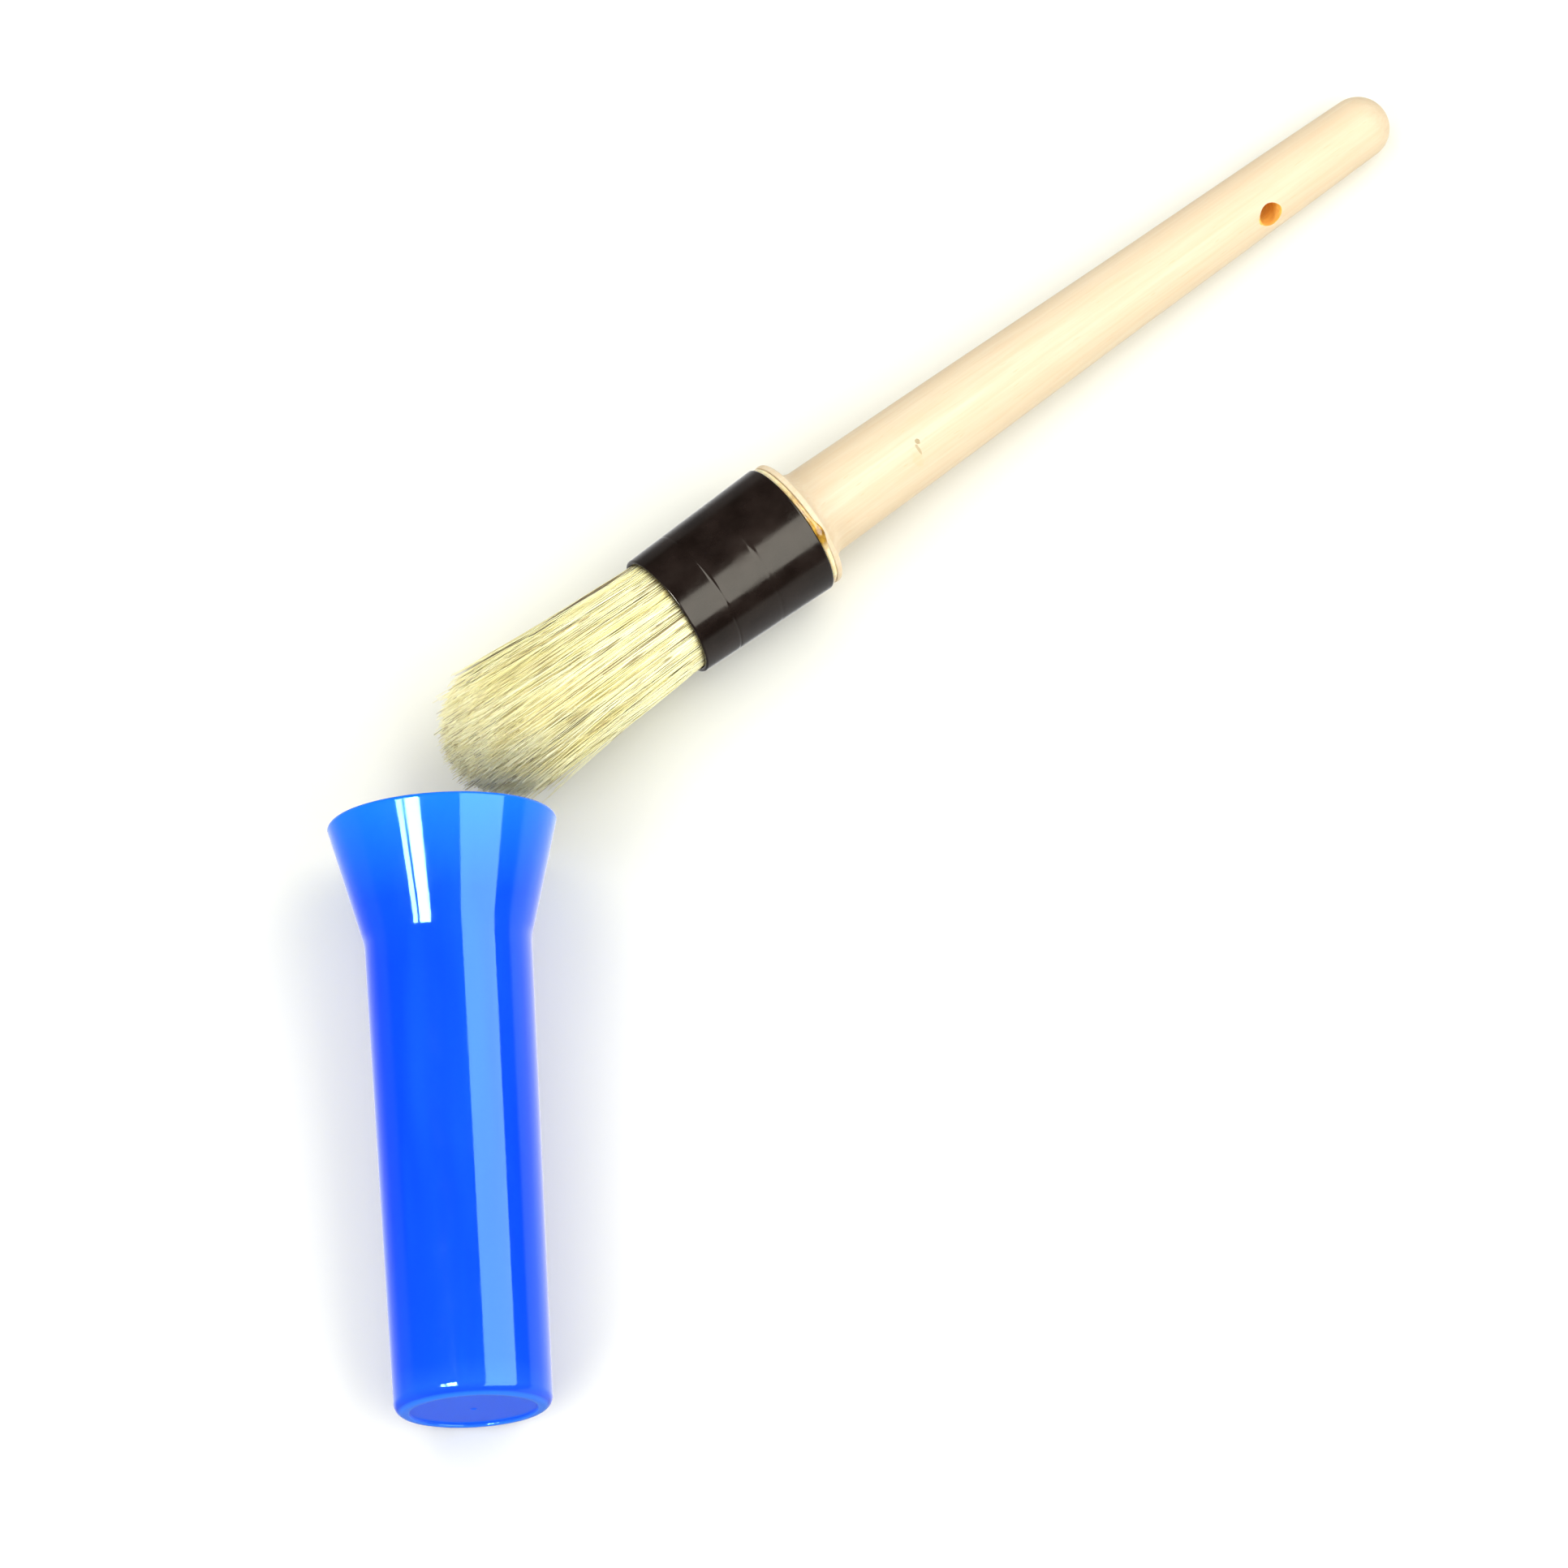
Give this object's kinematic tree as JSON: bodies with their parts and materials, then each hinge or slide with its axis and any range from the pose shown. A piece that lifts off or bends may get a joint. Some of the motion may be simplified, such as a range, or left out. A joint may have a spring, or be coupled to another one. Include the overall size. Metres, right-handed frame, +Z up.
{
  "type": "round bristle brush with cap",
  "caption": "Round natural-bristle brush with a turned wooden handle and black ferrule, lying beside its flared push-on plastic cap.",
  "frame": {"origin": "on the table surface, under the middle of the set's bounding box", "axes": "+Z up from the table; +Y along the cap from its closed end to its mouth; +X to the right, towards the handle's end"},
  "size_m": [0.2182, 0.2656, 0.0447],
  "materials": {
    "wood": "pale beech, smooth, clear satin lacquer",
    "ferrule_black": "glossy black-brown",
    "bristle": "natural ivory hog bristle with darker streaks",
    "resin": "cured brown resin",
    "plug_wood": "raw wood dowel",
    "glue_amber": "clear amber adhesive",
    "cap_blue": "glossy, slightly translucent royal blue"
  },
  "bodies": {
    "brush": {"handle": "wood", "ferrule": "ferrule_black", "bristle_tuft": "bristle", "bristle_setting": "resin", "core_plug": "plug_wood", "glue_bead": "glue_amber"},
    "cap": {"cap": "cap_blue"}
  },
  "joints": [
    {"name": "cap_swing", "type": "hinge", "parent": "brush", "child": "cap", "pos_m": [-0.0867, -0.00324, 0], "axis": [0, 0, -1], "range_deg": [0, 55.6]}
  ]
}
